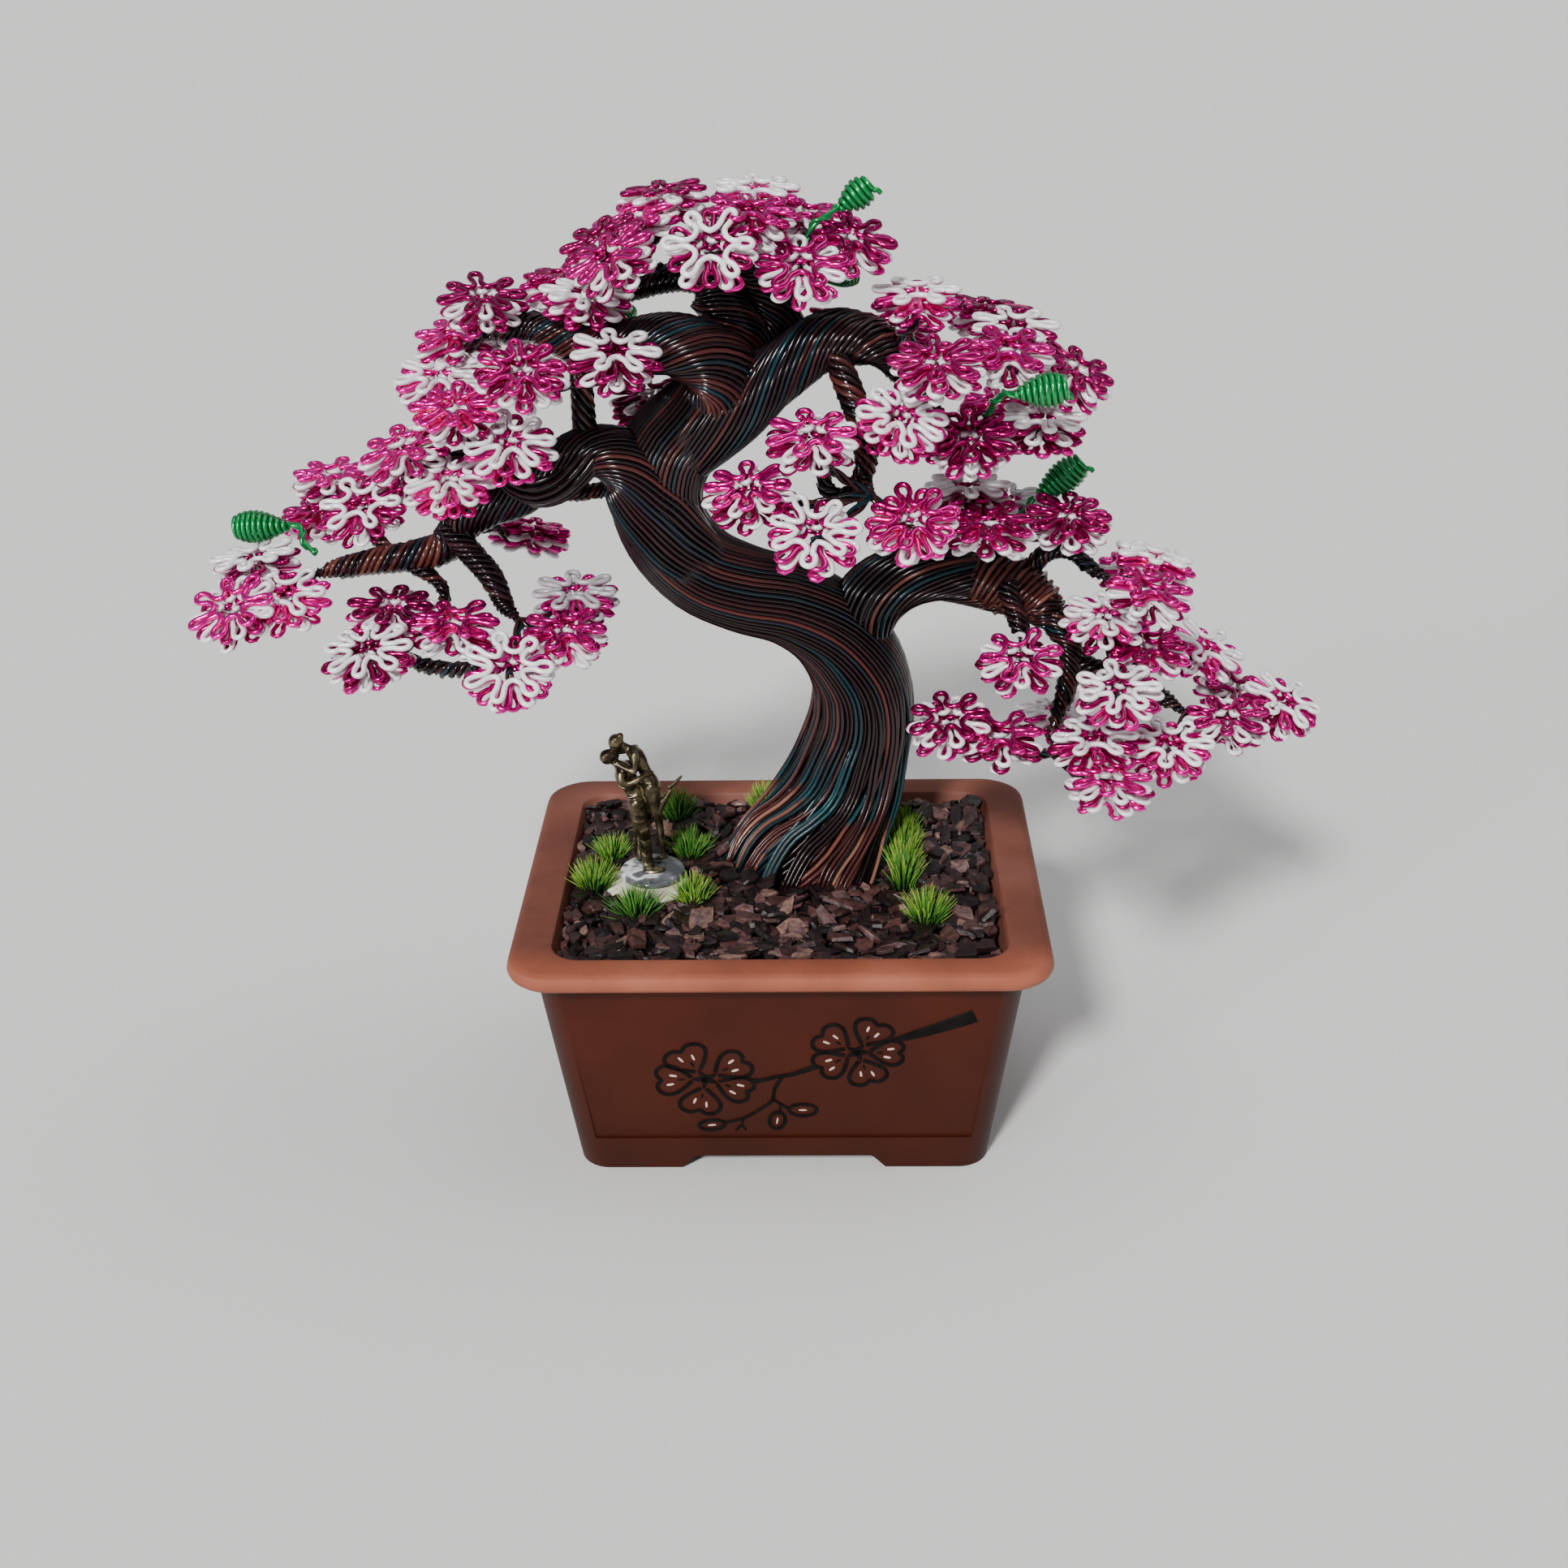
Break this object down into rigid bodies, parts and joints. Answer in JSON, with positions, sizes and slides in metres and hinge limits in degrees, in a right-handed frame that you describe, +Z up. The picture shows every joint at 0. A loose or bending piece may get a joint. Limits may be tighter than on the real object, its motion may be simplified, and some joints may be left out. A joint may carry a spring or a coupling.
{
  "type": "cherry blossom bonsai",
  "caption": "Small cherry blossom bonsai made of twisted craft wire, in a rectangular clay pot with bark mulch, grass tufts and a little bronze couple.",
  "frame": {"origin": "centre of the pot's footprint, on the surface that the feet stand on", "axes": "+X to the right along the pot's long side, -Y to the front with the figures, +Z up"},
  "size_m": [0.2471, 0.0954, 0.2186],
  "materials": {
    "clay": "unglazed, satin",
    "mulch": "rough bark chips",
    "bark_wire": "enamelled craft wire, satin",
    "pink_wire": "enamelled craft wire, gloss",
    "white_wire": "enamelled craft wire, satin",
    "green_wire": "enamelled craft wire, gloss",
    "grass": "static grass fibre",
    "pebble": "smooth",
    "glass": "opaque marbled glass",
    "bronze": "aged bronze"
  },
  "bodies": {
    "root": {"pot": "clay", "mulch_bed": "mulch", "trunk_and_branches": "bark_wire", "spray_left_tip": "white_wire", "spray_left_shelf": "pink_wire", "spray_left_front": "pink_wire", "spray_left_drop": "white_wire", "spray_left_back": "pink_wire", "spray_left_mid": "pink_wire", "spray_left_over": "white_wire", "spray_left_up": "pink_wire", "spray_left_crest": "white_wire", "spray_gap_back": "pink_wire", "spray_crown_left": "pink_wire", "spray_crown": "white_wire", "spray_crown_right": "pink_wire", "spray_right_up": "pink_wire", "spray_right_crest": "pink_wire", "spray_right_mid": "white_wire", "spray_front_fall": "pink_wire", "spray_right_inner": "pink_wire", "spray_right_arch": "pink_wire", "spray_right_drop": "pink_wire", "spray_right_low": "white_wire", "spray_right_tip": "pink_wire", "spray_right_foot": "pink_wire", "leaf_left": "green_wire", "leaf_top": "green_wire", "leaf_right_upper": "green_wire", "leaf_right_lower": "green_wire", "leaf_behind": "green_wire", "leaf_inner": "green_wire", "tuft_left": "grass", "tuft_behind_stone": "grass", "tuft_stone_front": "grass", "tuft_stone_right": "grass", "tuft_beside_couple": "grass", "tuft_back_left": "grass", "tuft_back": "grass", "tuft_right": "grass", "tuft_beside_trunk": "grass", "pebble": "pebble", "glass_disc": "glass", "bronze_couple": "bronze"}
  },
  "joints": []
}
